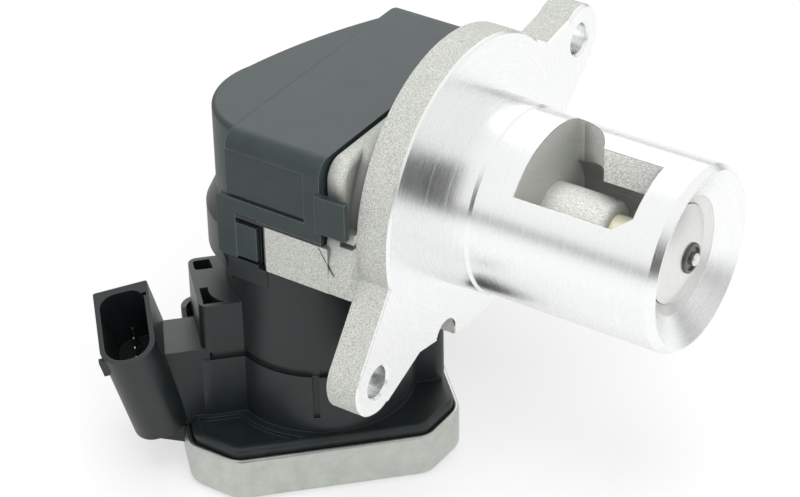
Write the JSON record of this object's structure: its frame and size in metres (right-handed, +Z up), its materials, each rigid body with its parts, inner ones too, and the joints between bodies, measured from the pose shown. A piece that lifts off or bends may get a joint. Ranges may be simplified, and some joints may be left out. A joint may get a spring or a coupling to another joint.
{
  "type": "exhaust gas recirculation valve",
  "caption": "Motor driven exhaust gas valve: cast flange with a windowed nose and poppet, geared drive under a plastic cover, upright motor with a metal cap, and a side connector.",
  "frame": {"origin": "where the axis of the nose crosses the front face of the mounting flange", "axes": "+X out along the nose, +Z up along the motor axis, +Y away from the flat front of the gear cover"},
  "size_m": [0.1461, 0.1339, 0.119],
  "materials": {
    "cast_body": "sand-cast skin, machined nose and flange face",
    "bronze": "sintered bush, oiled",
    "seal_rubber": "matt black",
    "seat_steel": "ground stainless steel",
    "stem_steel": "ground stainless steel",
    "disc_steel": "turned stainless steel",
    "washer_steel": "darkened steel",
    "crosshead_plastic": "glass-filled nylon",
    "hard_steel": "hardened and ground",
    "gear_plastic": "natural nylon",
    "spring_steel": "oil-tempered wire",
    "pinion_brass": "cut brass",
    "core_steel": "stacked laminations",
    "copper": "turned copper",
    "can_steel": "plated pressed steel",
    "magnet_ferrite": "sintered ferrite",
    "brush_plastic": "moulded",
    "cover_plastic": "moulded slate grey, fine grain",
    "housing_plastic": "moulded near-black, fine grain",
    "pin_metal": "tinned brass",
    "cap_metal": "satin pressed sheet",
    "board_green": "lacquered board"
  },
  "bodies": {
    "frame": {"valve_body": "cast_body", "guide_bush": "bronze", "rear_bush": "bronze", "stem_seal": "seal_rubber", "seat_ring": "seat_steel", "output_bush": "bronze", "return_spring": "spring_steel", "idler_axle": "hard_steel", "motor_can": "can_steel", "motor_magnets": "magnet_ferrite", "motor_bearings": "bronze", "brush_plate": "brush_plastic", "gear_cover": "cover_plastic", "cover_gasket": "seal_rubber", "motor_housing": "housing_plastic", "connector_pins": "pin_metal", "base_cap": "cap_metal", "sensor_board": "board_green"},
    "valve": {"valve_stem": "stem_steel", "valve_disc": "disc_steel", "disc_washer": "washer_steel", "crosshead": "crosshead_plastic", "follower_pin": "hard_steel"},
    "output": {"output_gear": "gear_plastic", "output_shaft": "hard_steel", "sensor_magnet": "magnet_ferrite"},
    "idler": {"idler_gear": "gear_plastic"},
    "rotor": {"rotor_shaft": "hard_steel", "rotor_core": "core_steel", "commutator": "copper", "motor_pinion": "pinion_brass"}
  },
  "joints": [
    {"name": "rotor_turn", "type": "hinge", "parent": "frame", "child": "rotor", "pos_m": [-0.0365, -0.019, 0], "axis": [0, 0, 1], "range_deg": [0, 659.39]},
    {"name": "idler_turn", "type": "hinge", "parent": "frame", "child": "idler", "pos_m": [-0.04949, -0.01434, 0], "axis": [0, 0, 1], "range_deg": [-232.83, 0]},
    {"name": "output_turn", "type": "hinge", "parent": "frame", "child": "output", "pos_m": [-0.04, 0, 0], "axis": [0, 0, 1], "range_deg": [0, 80.02], "stiffness_Nm_per_rad": 0.05, "springref_deg": -85.94},
    {"name": "valve_slide", "type": "slide", "parent": "frame", "child": "valve", "axis": [1, 0, 0], "range_m": [0, 0.0055]}
  ],
  "couplings": [
    {"joint": "idler_turn", "follows": "rotor_turn", "ratio": -0.35294},
    {"joint": "output_turn", "follows": "rotor_turn", "ratio": 0.12132},
    {"joint": "valve_slide", "follows": "rotor_turn", "m_per_rad": 0.0004779}
  ]
}
